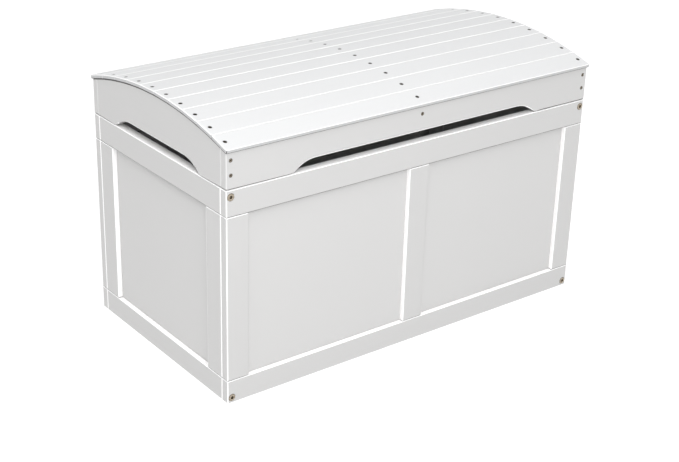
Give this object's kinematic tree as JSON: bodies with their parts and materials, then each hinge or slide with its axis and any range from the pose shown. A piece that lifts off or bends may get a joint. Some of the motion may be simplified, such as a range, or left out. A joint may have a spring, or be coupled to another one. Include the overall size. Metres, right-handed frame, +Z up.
{
  "type": "wooden toy box",
  "caption": "Painted wooden toy chest: frame-and-panel box with an arched, slatted lid on friction hinges and finger gaps under its edge.",
  "frame": {"origin": "middle of the chest's footprint, on the floor it stands on", "axes": "+X to the chest's right along its length, +Y from its front to its back, +Z up; lid closed"},
  "size_m": [0.7874, 0.4318, 0.4826],
  "materials": {
    "white_paint": "white semi-gloss paint on solid wood, fine brush grain, edges slightly rubbed",
    "slat_paint": "white semi-gloss paint on lid slats",
    "panel_paint": "white satin paint on smooth board",
    "inside_paint": "white matt paint inside and underneath",
    "bronze": "antique bronze plated steel, worn bright on the edges",
    "steel": "zinc plated steel"
  },
  "bodies": {
    "box": {"front_top_rail": "white_paint", "front_bottom_rail": "white_paint", "front_left_stile": "white_paint", "front_centre_stile": "white_paint", "front_right_stile": "white_paint", "front_left_panel": "panel_paint", "front_right_panel": "panel_paint", "back_top_rail": "white_paint", "back_bottom_rail": "white_paint", "back_left_stile": "white_paint", "back_centre_stile": "white_paint", "back_right_stile": "white_paint", "back_left_panel": "panel_paint", "back_right_panel": "panel_paint", "left_top_rail": "white_paint", "left_bottom_rail": "white_paint", "left_front_stile": "white_paint", "left_rear_stile": "white_paint", "left_panel": "panel_paint", "right_top_rail": "white_paint", "right_bottom_rail": "white_paint", "right_front_stile": "white_paint", "right_rear_stile": "white_paint", "right_panel": "panel_paint", "floor_board": "inside_paint", "front_floor_cleat": "inside_paint", "back_floor_cleat": "inside_paint", "left_floor_cleat": "inside_paint", "right_floor_cleat": "inside_paint", "front_top_left_bolt": "bronze", "front_top_right_bolt": "bronze", "front_bottom_left_bolt": "bronze", "front_bottom_right_bolt": "bronze", "back_top_left_bolt": "bronze", "back_top_right_bolt": "bronze", "back_bottom_left_bolt": "bronze", "back_bottom_right_bolt": "bronze", "left_hinge_box_leaf": "steel", "left_hinge_pin": "steel", "right_hinge_box_leaf": "steel", "right_hinge_pin": "steel"},
    "lid": {"lid_front_rail": "white_paint", "lid_back_rail": "white_paint", "lid_left_end": "white_paint", "lid_right_end": "white_paint", "lid_centre_rib": "inside_paint", "slat_01": "slat_paint", "slat_02": "slat_paint", "slat_03": "slat_paint", "slat_04": "slat_paint", "slat_05": "slat_paint", "slat_06": "slat_paint", "slat_07": "slat_paint", "slat_08": "slat_paint", "slat_09": "slat_paint", "slat_10": "slat_paint", "left_hinge_lid_leaf": "steel", "right_hinge_lid_leaf": "steel"}
  },
  "joints": [
    {"name": "lid_hinge", "type": "hinge", "parent": "box", "child": "lid", "pos_m": [0, 0.212, 0.3815], "axis": [-1, 0, 0], "range_deg": [0, 95]}
  ]
}
